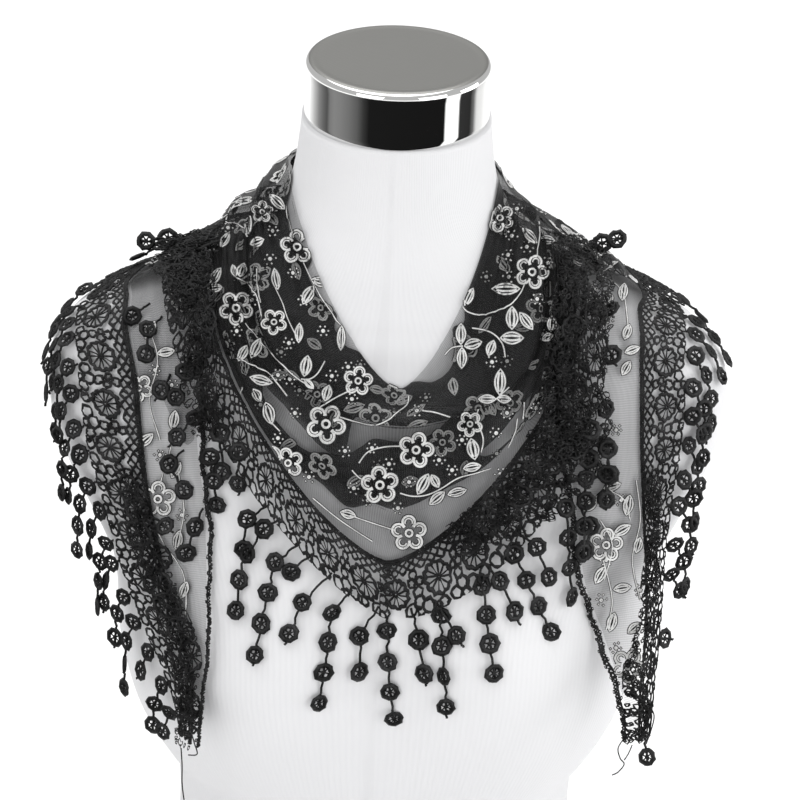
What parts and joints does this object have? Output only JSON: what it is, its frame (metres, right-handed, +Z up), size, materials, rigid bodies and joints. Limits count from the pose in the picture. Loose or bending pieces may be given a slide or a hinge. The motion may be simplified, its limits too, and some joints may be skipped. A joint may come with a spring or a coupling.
{
  "type": "lace-fringed triangle scarf on dress form",
  "caption": "Sheer triangle scarf draped as a cowl on a limbless dress form, with lace bands and a medallion fringe on its short edges.",
  "frame": {"origin": "centre of the dress form's flat underside, in its middle plane", "axes": "+Z up, the form's front faces -Y, +X on the right of someone who looks at the front"},
  "size_m": [0.429, 0.2388, 0.5313],
  "materials": {
    "white jersey": "fine ribbed knit cover",
    "polished chrome": "mirror band with a satin top",
    "sheer black mesh": "sheer mesh with printed pale flowers",
    "black guipure lace": "matte corded lace"
  },
  "bodies": {
    "root": {"dress_form": "white jersey", "neck_cap": "polished chrome", "front_drape": "sheer black mesh", "wrap_over": "sheer black mesh", "wrap_under": "sheer black mesh", "right_tail": "sheer black mesh", "left_tail": "sheer black mesh", "right_tail_braid": "black guipure lace", "left_tail_braid": "black guipure lace", "drape_lace_left": "black guipure lace", "drape_lace_right": "black guipure lace", "right_tail_lace": "black guipure lace", "left_tail_lace": "black guipure lace", "wrap_over_lace": "black guipure lace", "wrap_under_lace": "black guipure lace", "drape_fringe_left": "black guipure lace", "drape_fringe_right": "black guipure lace", "left_tail_fringe": "black guipure lace", "right_tail_fringe": "black guipure lace", "wrap_over_fringe": "black guipure lace", "wrap_under_fringe": "black guipure lace"}
  },
  "joints": []
}
